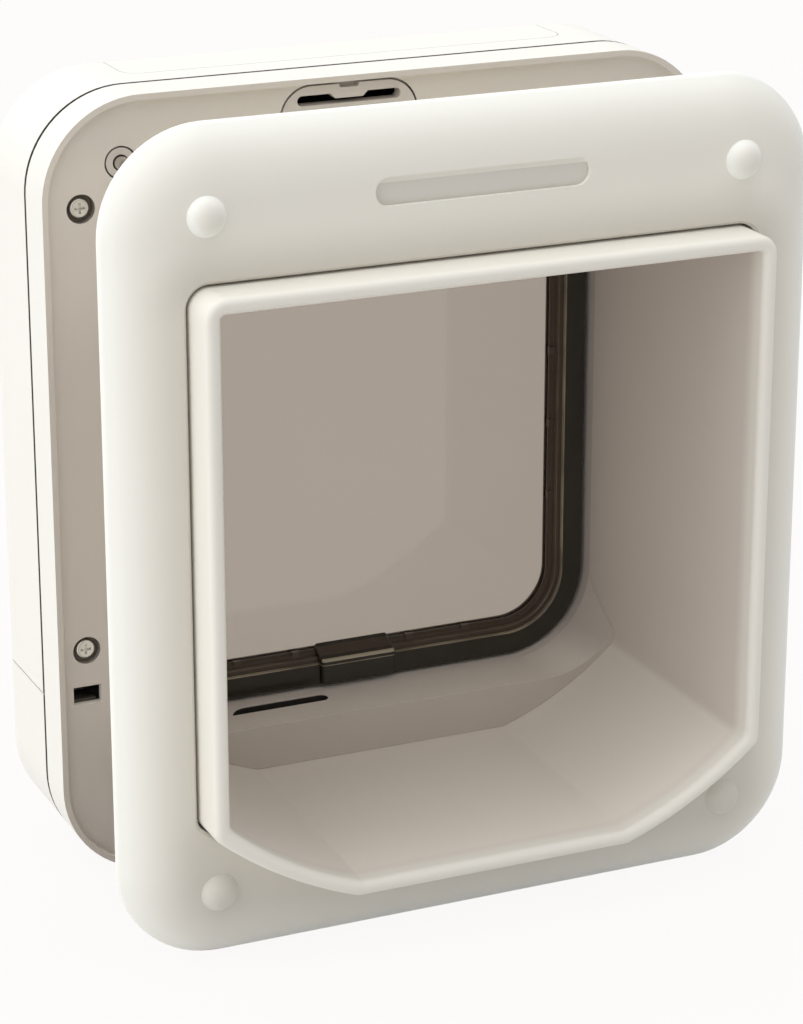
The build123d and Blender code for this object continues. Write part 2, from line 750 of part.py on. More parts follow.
def flap_frame():
    """Rim round the pane: a stepped section carried down, round and up, with a hinge barrel on top."""
    profile = []
    for side, height, drops in ((1, rim_front, rim_drops), (-1, rim_back, rim_back_drops)):
        step = rim_flange + rim_step
        half = [
            (0, side * (height - rim_edge)),
            (rim_edge, side * height),
            (rim_flange - rim_edge, side * height),
            (rim_flange, side * (height - rim_edge)),
            (rim_flange, side * (height - drops[0])),
            (step - rim_edge, side * (height - drops[0])),
            (step, side * (height - drops[0] - rim_edge)),
            (step, side * (height - drops[1])),
            (rim_width - rim_bevel, side * (height - drops[1])),
            (rim_width, side * (pane_thickness / 2 + pane_cheek)),
        ]
        profile += half[::side]
    section = make_face(Polyline(*profile, close=True))
    start = Plane(origin=(-flap_half, hinge_y, hinge_z), x_dir=(1, 0, 0), z_dir=(0, 0, -1))
    track = FilletPolyline((-flap_half, hinge_z), (-flap_half, flap_bottom), (flap_half, flap_bottom),
                           (flap_half, hinge_z), radius=flap_corner)
    body = sweep(start * section, path=Plane.XZ.offset(-hinge_y) * track)
    inner_half = flap_half - rim_width
    inner_foot = flap_bottom + rim_width
    for i in range(clip_count):
        z = hinge_z - (i + 2) * clip_pitch
        for s in (-1, 1):
            clip_x = sorted((s * (inner_half - clip_reach), s * (inner_half + clip_root)))
            clip_y = (pane_front - clip_lift - 2 * clip_height, pane_front - clip_lift)
            body += block(clip_x, clip_y, (z - clip_length / 2, z + clip_length / 2))
            foot_x = s * (i + 1) * foot_clip_pitch
            foot = (foot_x - clip_length / 2, foot_x + clip_length / 2)
            body += block(foot, clip_y, (inner_foot - clip_root, inner_foot + clip_reach))
    barrel = Plane.YZ.offset(-flap_half) * Pos(hinge_y, hinge_z) * Circle(barrel_radius)
    body += extrude(barrel, 2 * flap_half)
    head_x = (head_inset - flap_half, flap_half - head_inset)
    body += block(head_x, (pane_front - head_cheek, pane_rear + head_cheek), (hinge_z - head_drop, hinge_z))
    pane_space = pane_outline(touch_gap / 2)
    body -= slab(pane_space, pane_front - bearing_gap, pane_rear + bearing_gap)
    bore = Plane.YZ.offset(-unit_half) * Pos(hinge_y, hinge_z) * Circle(spindle_diameter / 2 + bearing_gap)
    body -= extrude(bore, 2 * unit_half)
    return body - latch_space(touch_gap / 2)


def pane_outline(grow):
    """Outline of the see-through pane, let into the rim and the hinge bar."""
    inset = rim_width - pane_bite
    half = flap_half - inset + grow
    bottom = flap_bottom + inset - grow
    top = hinge_z - 1.5 * barrel_radius + grow
    outline = Pos(0, (top + bottom) / 2) * Rectangle(2 * half, top - bottom)
    return fillet(outline.vertices().group_by(Axis.Y)[0], flap_corner - inset + grow)


def latch_space(grow):
    """The gap in the rim that the latch block fills, in front of the pane."""
    half = latch_width / 2 + grow
    return block((-half, half), (latch_face, pane_front - bearing_gap),
                 (latch_foot - grow, flap_bottom + latch_height + grow))


def flap_latch():
    """Latch block at the foot of the flap: an upright face under a slope, with a magnet's pocket."""
    back = pane_front - bearing_gap
    brow_z = latch_foot + latch_front
    crown_z = flap_bottom + latch_height
    side = make_face(Polyline((latch_face, latch_foot), (latch_face, brow_z), (back, crown_z),
                              (back, latch_foot), close=True))
    body = extrude(Plane.YZ.offset(-latch_width / 2) * side, latch_width)
    shown = body.edges().filter_by(lambda edge: edge.center().Z > latch_foot and edge.center().Y < back)
    body = fillet(shown, latch_round)
    return body - magnet_block(touch_gap / 2)


def magnet_block(grow):
    """The magnet in the latch block, with its lower face just inside the flap's edge."""
    half = magnet_length / 2 + grow
    depth = magnet_depth / 2 + grow
    middle = (latch_face + pane_front) / 2
    foot = latch_foot + magnet_lift - grow
    return block((-half, half), (middle - depth, middle + depth), (foot, foot + magnet_height + 2 * grow))


def sill_magnet():
    """Magnet under the sill that draws the flap to the middle."""
    middle = (latch_face + pane_front) / 2
    top = sill_top - surround_wall
    half = magnet_length / 2
    y_ends = (middle - magnet_depth / 2, middle + magnet_depth / 2)
    return block((-half, half), y_ends, (top - magnet_height, top))


def spindle():
    """Steel rod through the flap's barrel, with both ends in the surround's bearings."""
    reach = throat_half + spindle_bite
    rod = Plane.YZ.offset(-reach) * Pos(hinge_y, hinge_z) * Circle(spindle_diameter / 2)
    return extrude(rod, 2 * reach)


def fixing_sleeves():
    """Tubes that guide the fixing screws through the unit, shouldered on the rear plate."""
    end = unit_depth - head_room
    group = []
    for x, z in fixing_points:
        tube = peg(x, z, sleeve_diameter, plate_face, end)
        tube += peg(x, z, sleeve_flange_diameter, plate_back, plate_back + sleeve_flange_height)
        group.append(tube - peg(x, z, sleeve_bore, 0, unit_depth))
    return Compound(children=group)


def fixing_screws():
    """Long pan-head screws from the room side into the exterior frame's bosses."""
    end = unit_depth - head_room
    top = end + fixing_head_height
    group = []
    for x, z in fixing_points:
        head = peg(x, z, fixing_head_diameter, end, top)
        head = fillet(edges_at(head, top), head_round)
        screw = head + peg(x, z, fixing_diameter, frame_face + touch_gap, end)
        group.append(screw - cross_recess(x, z, top - cross_depth, top))
    return Compound(children=group)


def cross_recess(x, z, near, far):
    """Cross slot for a driver."""
    bars = Rectangle(cross_length, cross_width) + Rectangle(cross_width, cross_length)
    return slab(Pos(x, z) * bars, near, far)


def housing_screws():
    """Pan-head screws in the rear plate's counterbores, driven into the covers' pillars."""
    group = []
    for x, z in housing_points:
        face = counterbore_floor - housing_head_height
        head = peg(x, z, housing_head_diameter, face, counterbore_floor)
        head = fillet(edges_at(head, face), head_round)
        screw = head + peg(x, z, housing_screw_diameter, counterbore_floor, tower_end + screw_bite)
        group.append(screw - cross_recess(x, z, face, face + cross_depth))
    return Compound(children=group)


def screw_plugs():
    """Caps over the fixing screws on the room side."""
    group = []
    for x, z in fixing_points:
        cap = peg(x, z, plug_diameter, unit_depth, unit_depth + plug_dome)
        cap = fillet(edges_at(cap, unit_depth + plug_dome), plug_round)
        group.append(cap + peg(x, z, plug_stem_diameter, front_inside - cut_past, unit_depth))
    return Compound(children=group)


def battery_tray():
    """Open tray for two rows of cells, standing on posts from the rear plate."""
    top = cell_rows[-1] + cell_diameter / 2
    y_ends = (tray_back, cell_y + cell_diameter / 2)
    body = block((-tray_half, tray_half), y_ends, (tray_floor, top))
    inner_half = tray_half - tray_wall
    inside_y = (tray_back + tray_wall, unit_depth)
    body -= block((-inner_half, inner_half), inside_y, (tray_floor + tray_wall, unit_top))
    shelf = (cell_rows[0] + cell_diameter / 2, cell_rows[0] + cell_diameter / 2 + cell_gap)
    back_rib = (tray_back, tray_back + tray_wall + row_rib_reach)
    return body + block((-inner_half, inner_half), back_rib, shelf)


def battery_cells():
    """Four cells in two rows, nose to tail."""
    group = []
    for row, z in enumerate(cell_rows):
        for s in (-1, 1):
            middle = s * (cell_length + cell_gap) / 2
            nose = 1 if row == 0 else -1
            can_length = cell_length - cell_nub_length
            can_middle = middle - nose * cell_nub_length / 2
            can = Pos(can_middle, cell_y, z) * Rot(0, 90, 0) * Cylinder(cell_diameter / 2, can_length)
            nub_middle = middle + nose * can_length / 2
            nub = Rot(0, 90, 0) * Cylinder(cell_nub_diameter / 2, cell_nub_length)
            group.append(can + Pos(nub_middle, cell_y, z) * nub)
    return Compound(children=group)


def battery_contacts():
    """Sprung contact plates at the ends of the tray."""
    group = []
    wall = tray_half - tray_wall
    for z in cell_rows:
        for s in (-1, 1):
            plate_x = sorted((s * (wall - contact_plate), s * wall))
            half = contact_size / 2
            plate = block(plate_x, (cell_y - half, cell_y + half), (z - half, z + half))
            reach = wall - contact_plate - cell_length - cell_gap
            middle = s * (wall - contact_plate - reach / 2)
            spring = Rot(0, -90 * s, 0) * Cone(spring_base / 2, spring_tip / 2, reach)
            group.append(plate + Pos(middle, cell_y, z) * spring)
    return Compound(children=group)


def circuit_board():
    """Board beside the flap, held on posts of the inner cover."""
    half = board_width / 2
    x_ends = (board_x - half, board_x + half)
    return block(x_ends, (board_back, board_front), (board_top - board_height, board_top))


def board_chips():
    """Packaged chips on the back of the board."""
    group = []
    half = chip_size / 2
    for i in range(chip_count):
        z = board_top - board_height / 2 + (i - (chip_count - 1) / 2) * chip_pitch
        y_ends = (board_back - chip_height, board_back)
        group.append(block((board_x - half, board_x + half), y_ends, (z - half, z + half)))
    return Compound(children=group)


def button_switch():
    """Press switch on the board under the learn button."""
    half = switch_size / 2
    body = block((board_x - half, board_x + half), (board_front, board_front + switch_height),
                 (button_z - half, button_z + half))
    return body + peg(board_x, button_z, plunger_diameter, board_front, plunger_top())


def plunger_top():
    """Height of the press switch's plunger, just short of the pressed button."""
    return front_inside - touch_gap - button_flange_height - button_travel - touch_gap / 2


def learn_button():
    """Push button in the inner cover, with a flange behind the face."""
    flange_end = front_inside - touch_gap
    flange_start = flange_end - button_flange_height
    body = peg(board_x, button_z, button_diameter, flange_start, unit_depth + button_proud)
    body = fillet(edges_at(body, unit_depth + button_proud), button_round)
    return body + peg(board_x, button_z, button_diameter + 2 * button_flange, flange_start, flange_end)


def status_led():
    """Light source on the board behind the lens."""
    half = led_size / 2
    y_ends = (board_front, board_front + led_height)
    return block((board_x - half, board_x + half), y_ends, (lens_z - half, lens_z + half))


def status_lens():
    """Light pipe from the board to the room face, shouldered behind the cover."""
    stem = peg(board_x, lens_z, lens_diameter, board_front + led_height + touch_gap, unit_depth + touch_gap)
    shoulder = front_inside - lens_flange_height
    return stem + peg(board_x, lens_z, lens_flange_diameter, shoulder, front_inside)


def aerial_coil():
    """Flat winding round the tunnel that reads the cat's tag."""
    inner = bore_inset(floor_reach + coil_width) - tunnel_wall - touch_gap
    ring = tunnel_outline(inner - coil_thickness) - tunnel_outline(inner)
    start = plate_back + flange_thickness + coil_setback
    return slab(ring, start, start + coil_width)


def lock_selector():
    """Knob on the lower cover that picks in, out, both or locked, with a grip across it."""
    face = unit_depth + touch_gap
    body = peg(0, dial_z, dial_diameter, face, face + dial_base)
    body = fillet(edges_at(body, face + dial_base), dial_round)
    grip = slab(Pos(0, dial_z) * SlotOverall(dial_grip_length, dial_grip), face, face + dial_height)
    body += fillet(edges_at(grip, face + dial_height), dial_grip_round)
    return body + peg(0, dial_z, dial_shaft_diameter, front_inside - dial_shaft_bite, face)


def selector_switch():
    """Rotary switch behind the lower cover, turned by the selector knob."""
    half = selector_size / 2
    y_ends = (front_inside - selector_depth, front_inside)
    body = block((-half, half), y_ends, (dial_z - half, dial_z + half))
    hole_end = front_inside - dial_shaft_bite - dial_shaft_room
    return body - peg(0, dial_z, dial_shaft_diameter + 2 * bearing_gap, hole_end, unit_depth)


def all_parts():
    """Every piece by name."""
    return {
        "exterior_frame": exterior_frame(),
        "tunnel_liner": tunnel_liner(),
        "rear_housing": rear_housing(),
        "catch_tab": catch_tab(),
        "inner_cover": inner_cover(),
        "lower_cover": lower_cover(),
        "battery_cover": battery_cover(),
        "battery_tray": battery_tray(),
        "battery_cells": battery_cells(),
        "battery_contacts": battery_contacts(),
        "flap_surround": flap_surround(),
        "flap_frame": flap_frame(),
        "flap_pane": slab(pane_outline(0), pane_front, pane_rear),
        "flap_latch": flap_latch(),
        "flap_magnet": magnet_block(0),
        "flap_spindle": spindle(),
        "sill_magnet": sill_magnet(),
        "exit_lock": lock_lever(exit_lock_y, -1),
        "exit_lock_shaft": lock_shaft(exit_lock_y, -1, 1),
        "exit_lock_motor": lock_motor(exit_lock_y, -1, 1),
        "entry_lock": lock_lever(entry_lock_y, 1),
        "entry_lock_shaft": lock_shaft(entry_lock_y, 1, -1),
        "entry_lock_motor": lock_motor(entry_lock_y, 1, -1),
        "lock_selector": lock_selector(),
        "selector_switch": selector_switch(),
        "circuit_board": circuit_board(),
        "board_chips": board_chips(),
        "button_switch": button_switch(),
        "learn_button": learn_button(),
        "status_led": status_led(),
        "status_lens": status_lens(),
        "aerial_coil": aerial_coil(),
        "fixing_sleeves": fixing_sleeves(),
        "fixing_screws": fixing_screws(),
        "screw_plugs": screw_plugs(),
        "housing_screws": housing_screws(),
    }


if __name__ == "__main__":
    os.makedirs("parts", exist_ok=True)
    for name, shape in all_parts().items():
        export_step(shape, f"parts/{name}.step")
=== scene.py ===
# %% [markdown]
# # A cat flap for a house door
# This lesson dresses a finished model of a cat flap in Blender: a white outer frame, a tunnel
# through the door, and a unit on the room side that carries a smoked flap.
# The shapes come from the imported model, which stays as it is. Here they get their finishes,
# a camera, lights and a few pieces that are easier to work out with numpy.

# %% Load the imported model
import math

import bpy
import numpy as np
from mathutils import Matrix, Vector


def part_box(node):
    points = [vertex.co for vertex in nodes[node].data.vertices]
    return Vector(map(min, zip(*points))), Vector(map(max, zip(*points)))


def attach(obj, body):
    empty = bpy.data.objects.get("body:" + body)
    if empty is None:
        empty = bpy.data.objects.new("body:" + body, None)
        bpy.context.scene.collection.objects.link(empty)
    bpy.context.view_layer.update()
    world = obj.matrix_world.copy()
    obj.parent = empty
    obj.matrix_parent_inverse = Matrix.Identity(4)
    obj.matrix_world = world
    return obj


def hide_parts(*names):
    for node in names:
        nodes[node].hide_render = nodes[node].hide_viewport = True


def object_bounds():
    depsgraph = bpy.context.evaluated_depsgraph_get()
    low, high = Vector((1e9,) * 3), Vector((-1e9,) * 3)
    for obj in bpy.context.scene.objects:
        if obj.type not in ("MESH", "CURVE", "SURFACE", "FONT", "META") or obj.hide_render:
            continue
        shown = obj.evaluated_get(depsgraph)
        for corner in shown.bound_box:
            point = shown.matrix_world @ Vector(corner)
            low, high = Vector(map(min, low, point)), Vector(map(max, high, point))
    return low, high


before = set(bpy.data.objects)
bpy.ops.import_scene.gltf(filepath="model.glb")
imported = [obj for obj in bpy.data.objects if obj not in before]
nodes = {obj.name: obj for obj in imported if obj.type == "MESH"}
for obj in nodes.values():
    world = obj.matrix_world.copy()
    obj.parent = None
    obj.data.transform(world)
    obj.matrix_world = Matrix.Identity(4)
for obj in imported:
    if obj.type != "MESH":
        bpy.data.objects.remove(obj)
cad_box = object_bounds()
print("nodes", len(nodes), "box", [round(v, 4) for corner in cad_box for v in corner])

# %% [markdown]
# ## Camera
# The object is seen from the left and from above, from a little under a metre away. The camera
# is placed by its direction from a point near the middle of the tunnel, so that the angle can
# be read straight from the numbers. In the picture all uprights are parallel, which takes a
# level camera with its lens shifted far. Every other view would keep that shift and miss the
# object, so this camera looks down at the same angle instead.


# %% Camera
def into_scene(name, data):
    """A new object that holds the data, linked into the scene."""
    made = bpy.data.objects.new(name, data)
    bpy.context.scene.collection.objects.link(made)
    return made


aim = Vector((-0.0048, -0.020, -0.0083))
azimuth, elevation = math.radians(-24.0), math.radians(19.3)
camera_distance, camera_lens = 0.90, 116.0
back = Vector((
    math.sin(azimuth) * math.cos(elevation),
    -math.cos(azimuth) * math.cos(elevation),
    math.sin(elevation),
))
camera = into_scene("camera", bpy.data.cameras.new("camera"))
camera.data.lens = camera_lens
camera.location = aim + back * camera_distance
camera.rotation_euler = (-back).to_track_quat("-Z", "Y").to_euler()
bpy.context.scene.camera = camera
bpy.context.scene.view_settings.view_transform = "Standard"
print("camera at", [round(v, 3) for v in camera.location])

# %% [markdown]
# ## Shader sums
# A finish is easier to read as a sum than as a drawing of boxes and wires. `Wire` holds one
# socket and turns `+`, `-`, `*` and `/` into Math nodes, with numbers allowed on either side.
# `>` and `<` give 1 where they hold and 0 elsewhere, so that masks can be multiplied.


# %% Shader sums
class Wire:
    """A node's output that can stand in a Python sum."""

    def __init__(self, finish, socket):
        self.finish, self.socket = finish, socket

    def maths(self, operation, first, second=0.0):
        return self.finish.node("ShaderNodeMath", {"operation": operation}, {0: first, 1: second})

    def __add__(self, other):
        return self.maths("ADD", self, other)

    def __sub__(self, other):
        return self.maths("SUBTRACT", self, other)

    def __rsub__(self, other):
        return self.maths("SUBTRACT", other, self)

    def __mul__(self, other):
        return self.maths("MULTIPLY", self, other)

    def __truediv__(self, other):
        return self.maths("DIVIDE", self, other)

    def __gt__(self, other):
        return self.maths("GREATER_THAN", self, other)

    def __lt__(self, other):
        return self.maths("LESS_THAN", self, other)

    def larger(self, other):
        return self.maths("MAXIMUM", self, other)

    def fraction(self):
        return self.maths("FRACT", self)

    __radd__ = __add__
    __rmul__ = __mul__


print("a sum of wires becomes Math nodes")

# %% [markdown]
# ## A finish in the making
# A material starts with the values that are the same all over, set on its shader's own sockets.
# What changes over the surface is added as nodes. One method, `node`, adds any node, and the
# rest are short names for the nodes that come back in almost every finish.


# %% A finish in the making
class Finish:
    """A material in the making: constants on its shader, and nodes added one by one."""

    def __init__(self, name, constants, owner=None):
        self.owner = owner or bpy.data.materials.new(name)
        self.owner.use_nodes = True
        self.tree = self.owner.node_tree
        self.shader = self.tree.nodes.get("Principled BSDF")
        for socket, value in constants.items():
            self.shader.inputs[socket].default_value = value

    def node(self, kind, settings=None, sockets=None, out=0):
        made = self.tree.nodes.new(kind)
        for key, value in (settings or {}).items():
            setattr(made, key, value)
        for key, value in (sockets or {}).items():
            self.plug(made.inputs[key], value)
        return Wire(self, made.outputs[out])

    def plug(self, socket, value):
        if isinstance(value, Wire):
            self.tree.links.new(value.socket, socket)
        else:
            socket.default_value = value

    def feed(self, **varying):
        for name, value in varying.items():
            self.plug(self.shader.inputs[name.replace("_", " ")], value)

    def place(self, output="Object"):
        return self.node("ShaderNodeTexCoord", out=output)

    def ray_is(self, kind):
        """1 where the ray that meets the surface is of a kind, such as Camera."""
        return self.node("ShaderNodeLightPath", out=f"Is {kind} Ray")

    def vector(self, operation, first, second=(0, 0, 0), out=0):
        sockets = {0: first, 1: second}
        return self.node("ShaderNodeVectorMath", {"operation": operation}, sockets, out)

    def part_of(self, vector, axis):
        """The share of a vector along an axis, as one number."""
        return self.vector("DOT_PRODUCT", vector, axis, out="Value")

    def along(self, axis):
        """How far along an axis a point of the piece lies."""
        return self.part_of(self.place(), axis)

    def facing(self, axis):
        """How squarely a face looks along an axis: 1 straight along it, 0 across it."""
        return self.part_of(self.place("Normal"), axis)

    def ramp(self, value, start, end):
        """0 before start, 1 after end, and a smooth rise between."""
        sockets = {0: value, 1: start, 2: end}
        return self.node("ShaderNodeMapRange", {"interpolation_type": "SMOOTHSTEP"}, sockets)

    def between(self, value, start, end):
        """1 from start to end, and 0 elsewhere."""
        return (value > start) * (value < end)

    def noise(self, scale, detail=2.0, stretch=(1, 1, 1)):
        where = self.node("ShaderNodeMapping", {}, {"Vector": self.place(), "Scale": stretch})
        sockets = {"Vector": where, "Scale": scale, "Detail": detail}
        return self.node("ShaderNodeTexNoise", {}, sockets)

    def tint(self, factor, first, second):
        sockets = {0: factor, 6: first, 7: second}
        return self.node("ShaderNodeMix", {"data_type": "RGBA"}, sockets, out=2)

    def lay_over(self, colour, overlays):
        """Each overlay's colour over what is there already, as far as its mask says."""
        for mask, laid in overlays:
            colour = self.tint(mask(self), colour, laid)
        return colour

    def bump(self, height, depth):
        return self.node("ShaderNodeBump", {}, {"Height": height, "Distance": depth})


def linear(red, green, blue):
    """A colour picked on screen, from 0 to 255, as the linear numbers that a shader takes."""
    share = np.array((red, green, blue)) / 255
    low, high = share / 12.92, ((share + 0.055) / 1.055) ** 2.4
    return tuple(np.where(share < 0.04045, low, high)) + (1.0,)


to_right, to_room, to_sky, to_street = (1, 0, 0), (0, 1, 0), (0, 0, 1), (0, -1, 0)
print("screen grey 205 is", round(linear(205, 205, 205)[0], 3), "in a shader")

# %% [markdown]
# ## Distance in from a rounded outline
# Several finishes follow an outline: the rear unit's edge, or the lines along the flap's rim.
# A picture could be wrapped round them, but a sum is sharper. Fold the point into one quarter
# of the outline, measure it from the middle of that quarter's corner, and take the length away
# from the corner's radius: that is how far in from the outline the point lies.


# %% Distance in from a rounded outline
def inset_from(finish, low, high, corner):
    """The corner's radius less the length of what is left of the distance from the outline's
    middle, once the straight half sides are taken away from it."""
    middle = ((low.x + high.x) / 2, 0, (low.z + high.z) / 2)
    straight = ((high.x - low.x) / 2 - corner, 0, (high.z - low.z) / 2 - corner)
    flat = finish.vector("MULTIPLY", finish.vector("SUBTRACT", finish.place(), middle), (1, 0, 1))
    folded = finish.vector("SUBTRACT", finish.vector("ABSOLUTE", flat), straight)
    return corner - finish.vector("LENGTH", finish.vector("MAXIMUM", folded), out="Value")


unit_low, unit_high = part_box("rear_housing")
unit_corner = 0.0275
print("unit is", round(unit_high.x - unit_low.x, 4), "by", round(unit_high.z - unit_low.z, 4))

# %% [markdown]
# ## White moulding
# The frame, tunnel and covers are moulded in an off-white plastic with a satin face. A flat
# colour would look like paper. A moulding has a fine grain from its mould, a little unevenness
# in the gloss, and a tone that drifts slightly over a hand's breadth, so each gets a noise of
# its own scale. Some places have a tone of their own, which is laid over the rest by a mask.

# %% White moulding
drift_scale, grain_scale, ripple_scale = 11.0, 1500.0, 60.0
grain_gloss, drift_gloss, ripple_share = 0.10, 0.05, 2.0


def white_moulding(name, light, shade, roughness, grain_depth, overlays=()):
    """Tone drifts between two colours, then overlays; a fine grain sets gloss and relief."""
    finish = Finish(name, {"IOR": 1.5, "Specular IOR Level": 0.4})
    drift = finish.noise(drift_scale, 3.0)
    grain = finish.noise(grain_scale, 2.0)
    ripple = finish.noise(ripple_scale, 1.0)
    finish.feed(
        Base_Color=finish.lay_over(finish.tint(drift, light, shade), overlays),
        Roughness=roughness + grain_gloss * grain + drift_gloss * drift,
        Normal=finish.bump(grain + ripple_share * ripple, grain_depth),
    )
    return finish.owner


warm_white = linear(246, 243, 235), linear(241, 237, 228)
cool_white = linear(246, 245, 240), linear(242, 240, 234)
mid_grey = linear(176, 173, 166), linear(160, 157, 150)
grey_plastic = white_moulding("grey_plastic", *mid_grey, 0.38, 1.4e-5)
print("white moulding ready")

# %% [markdown]
# ## Frame and covers
# The floor of the frame's pill-shaped recess is painted a shade darker than the face, as
# painted shade; the face is painted greyer close to the mouth, as painted shade; and the rounded
# edges are painted whiter, as a painted highlight. One picture doesn't say what makes them so.
# The tones could be painted on an unwrapped surface, but masks from a point's place, and from
# the way its face looks, need no unwrapping and follow the shape. The covers and the rear
# housing meet in a narrow joint all round the unit, which shows as one dark line. Little light
# reaches into it, and its faces are painted dark as painted shade, which keeps the line even all
# the way round.

# %% Frame and covers
frame_low, frame_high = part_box("exterior_frame")
tunnel_low, tunnel_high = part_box("tunnel_liner")
recess_near, recess_far = 0.0045, 0.0055
recess_half, roll_width = 0.036, 0.018
edge_turned, face_square = 0.55, 0.97
mouth_corner, shade_reach, shade_share = 0.006, 0.015, 0.8
joint_near, joint_far, joint_spread = 0.0140, 0.0148, 0.00035
# Painted highlight for the rounded edges, painted shade by the mouth and in the recess.
painted_edge_highlight, painted_mouth_shade = linear(253, 254, 249), linear(214, 209, 200)
painted_recess_shade, painted_joint_shade = linear(226, 221, 213), linear(74, 70, 64)


def in_recess(finish):
    """1 on the floor of the frame's recess, between the mouth and the frame's rounded edge."""
    depth = finish.along(to_room) - frame_low.y
    within = finish.between(finish.along(to_right), -recess_half, recess_half)
    height = finish.along(to_sky)
    above_mouth = finish.between(height, tunnel_high.z, frame_high.z - roll_width)
    return finish.between(depth, recess_near, recess_far) * within * above_mouth


def on_edges(finish):
    """0 on the frame's face, rising to 1 where its rounded edge has turned away from the front."""
    return 1.0 - finish.ramp(finish.facing(to_street), edge_turned, face_square)


def by_mouth(finish):
    """Most against the tunnel's mouth, falling to nothing a short way out from it."""
    outward = 0.0 - inset_from(finish, tunnel_low, tunnel_high, mouth_corner)
    return shade_share * (1.0 - finish.ramp(outward, 0.0, shade_reach))


# Painted shade: the faces in the joint and the hooks past it are made dark.
def cover_joint(finish):
    """1 on the covers' edge in the joint, and on the hooks that reach past it."""
    return finish.along(to_room) < joint_far + joint_spread


def housing_joint(finish):
    """1 on the rear housing's edge and tongue in the joint."""
    return finish.along(to_room) > joint_near - joint_spread


# Painted highlight on the rounded edges; painted shade by the mouth and on the recess floor.
frame_tones = [(on_edges, painted_edge_highlight), (by_mouth, painted_mouth_shade), (in_recess, painted_recess_shade)]
frame_white = white_moulding("frame_white", *warm_white, 0.36, 1.2e-5, frame_tones)
# Painted shade on the covers' faces in the joint and on the hooks.
cover_tones = [(cover_joint, painted_joint_shade)]
cover_white = white_moulding("cover_white", *cool_white, 0.34, 1.0e-5, cover_tones)
print("recess from", round(frame_low.y + recess_near, 4), "joint at", joint_near)

# %% [markdown]
# ## Tunnel
# The tunnel's mouth is as white as the frame. Its bore is painted greyer, as painted shade, and
# the floor of the bore is painted lighter than its walls, as painted light from above. The bore
# could have a material of its own, face by face, but the mesh stays as it came. So it is found
# by a sum: a face of the bore looks in towards the tunnel's axis, where the normal and the
# direction from the axis are opposed.

# %% Tunnel
tunnel_axis_z = (tunnel_low.z + tunnel_high.z) / 2
mouth_roll, bore_blend = 0.003, 0.006
slope_tilt, floor_tilt = 0.3, 0.9
# Painted shade for the bore, painted light for its floor.
painted_bore_shade, painted_floor_light = linear(225, 216, 208), linear(243, 236, 227)


def in_bore(finish):
    """1 on the faces that look in towards the tunnel's axis, behind the mouth's rounded rim."""
    flat = finish.vector("MULTIPLY", finish.place(), (1, 0, 1))
    from_axis = finish.vector("SUBTRACT", flat, (0, 0, tunnel_axis_z))
    outward = finish.part_of(from_axis, finish.place("Normal"))
    depth = finish.along(to_room) - tunnel_low.y
    return (outward < 0.0) * finish.ramp(depth, mouth_roll, mouth_roll + bore_blend)


def bore_floor(finish):
    """1 on the part of the bore that looks up, less on its slopes."""
    return in_bore(finish) * finish.ramp(finish.facing(to_sky), slope_tilt, floor_tilt)


# Painted shade in the bore, painted light on its up-facing floor.
tunnel_tones = [(in_bore, painted_bore_shade), (bore_floor, painted_floor_light)]
tunnel_white = white_moulding("tunnel_white", *warm_white, 0.38, 1.2e-5, tunnel_tones)
print("tunnel axis at z", round(tunnel_axis_z, 4))

# %% [markdown]
# ## Rear plate
# The side of the unit that is turned to the door is a plate, sunk inside a white lip. Its faces
# that look at the door are painted grey as painted shade, a little lighter towards the top as
# painted light, and the holes in it are painted dark as painted shade. The two side windows
# would be too dark with such walls, so theirs are pale. Each place is found from the way a face
# looks, its depth, its height and how far in from the unit's outline it lies.

# %% Rear plate
plate_y, hole_margin, lip_width = 0.0021, 3e-4, 0.0032
door_square = 0.7
plate_top_start, plate_top_full = 0.03, 0.10
window_low, window_high = -0.0602, -0.0525
# Painted shade on the plate and in its holes, painted light towards its top.
painted_plate_shade, painted_plate_top_light = linear(198, 189, 181), linear(226, 218, 208)
painted_hole_shade, window_grey = linear(150, 141, 132), linear(244, 238, 230)


def at_door(finish):
    """1 on the faces that look squarely out at the door."""
    return finish.facing(to_street) > door_square


def at_door_top(finish):
    """The same faces, but only towards the top of the unit."""
    return at_door(finish) * finish.ramp(finish.along(to_sky), plate_top_start, plate_top_full)


def in_holes(finish):
    """1 on what lies deeper than the plate's face, away from the unit's outer wall."""
    inside_lip = inset_from(finish, unit_low, unit_high, unit_corner) > lip_width
    return inside_lip * (finish.along(to_room) > plate_y + hole_margin)


def in_windows(finish):
    """1 in the holes at the height of the side windows."""
    return in_holes(finish) * finish.between(finish.along(to_sky), window_low, window_high)


# Painted shade on the plate, in its holes and in the joint; painted light towards its top.
plate_tones = [
    (at_door, painted_plate_shade),
    (at_door_top, painted_plate_top_light),
    (in_holes, painted_hole_shade),
    (in_windows, window_grey),
    (housing_joint, painted_joint_shade),
]
plate_white = white_moulding("plate_white", *cool_white, 0.40, 1.4e-5, plate_tones)
tab_pair = linear(220, 212, 203), linear(212, 204, 195)
tab_grey = white_moulding("tab_grey", *tab_pair, 0.40, 1.4e-5)
print("plate has", len(plate_tones), "tones of its own")

# %% [markdown]
# ## Sill
# The moulding behind the tunnel carries the flap, painted greyer than the white as painted
# shade. The top of its sill is painted lightest as painted light from above, its front and the
# sides of the passage are painted greyer as painted shade, and the slot that a lock lever rises
# from is painted dark as painted shade. The way a face looks tells the first three apart. The
# slots are found from the levers' own boxes, so that they stay with the levers.

# %% Sill
lever_boxes = [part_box("exit_lock"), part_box("entry_lock")]
slot_side_gap, slot_depth = 0.00056, 0.0037
upright_tilt, level_tilt = 0.6, 0.97
side_start, side_full = 0.08, 0.4
front_square = 0.8


